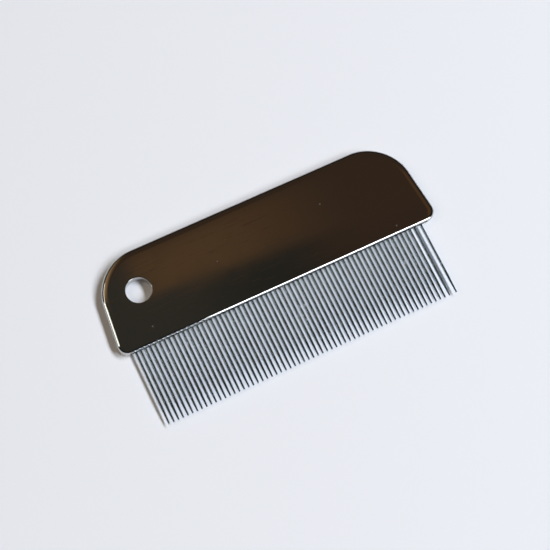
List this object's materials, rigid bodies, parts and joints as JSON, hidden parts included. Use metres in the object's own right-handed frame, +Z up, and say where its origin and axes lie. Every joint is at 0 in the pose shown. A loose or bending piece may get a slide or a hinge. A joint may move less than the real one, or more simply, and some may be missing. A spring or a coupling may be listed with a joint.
{
  "type": "flea comb",
  "caption": "Flat metal pocket comb with one row of fine round wire teeth in a folded mirror-bright back with a hang hole, for combing fleas and nits out of a pet's coat.",
  "frame": {"origin": "middle of the underside of the whole comb's box, with the comb lying flat: half way between the two ends, half way between the fold and the tooth tips, on the face that rests on a table", "axes": "+X along the row of teeth, away from the end with the hang hole; +Y across the comb from the tooth tips to the folded rear edge of the back, so the teeth point along -Y; +Z up, out of the broad upper face of the back"},
  "size_m": [0.0802, 0.0406, 0.0028],
  "materials": {
    "bright_plate": "bright nickel-chrome plate on folded steel sheet, mirror polished, with fine wiping scratches",
    "tooth_wire": "bright plated drawn steel wire, tapered and rounded at the tip",
    "strip_steel": "bare rolled steel strip with pressed grooves, hidden between the lips"
  },
  "bodies": {
    "root": {"back_shell": "bright_plate", "lower_clamp_strip": "strip_steel", "upper_clamp_strip": "strip_steel", "hairpin_teeth_01": "tooth_wire", "hairpin_teeth_02": "tooth_wire", "hairpin_teeth_03": "tooth_wire", "hairpin_teeth_04": "tooth_wire", "hairpin_teeth_05": "tooth_wire", "hairpin_teeth_06": "tooth_wire", "hairpin_teeth_07": "tooth_wire", "hairpin_teeth_08": "tooth_wire", "hairpin_teeth_09": "tooth_wire", "hairpin_teeth_10": "tooth_wire", "hairpin_teeth_11": "tooth_wire", "hairpin_teeth_12": "tooth_wire", "hairpin_teeth_13": "tooth_wire", "hairpin_teeth_14": "tooth_wire", "hairpin_teeth_15": "tooth_wire", "hairpin_teeth_16": "tooth_wire", "hairpin_teeth_17": "tooth_wire", "hairpin_teeth_18": "tooth_wire", "hairpin_teeth_19": "tooth_wire", "hairpin_teeth_20": "tooth_wire", "hairpin_teeth_21": "tooth_wire", "hairpin_teeth_22": "tooth_wire", "hairpin_teeth_23": "tooth_wire", "hairpin_teeth_24": "tooth_wire", "hairpin_teeth_25": "tooth_wire", "hairpin_teeth_26": "tooth_wire", "hairpin_teeth_27": "tooth_wire", "hairpin_teeth_28": "tooth_wire", "hairpin_teeth_29": "tooth_wire", "hairpin_teeth_30": "tooth_wire", "hairpin_teeth_31": "tooth_wire", "end_tooth": "tooth_wire"}
  },
  "joints": []
}
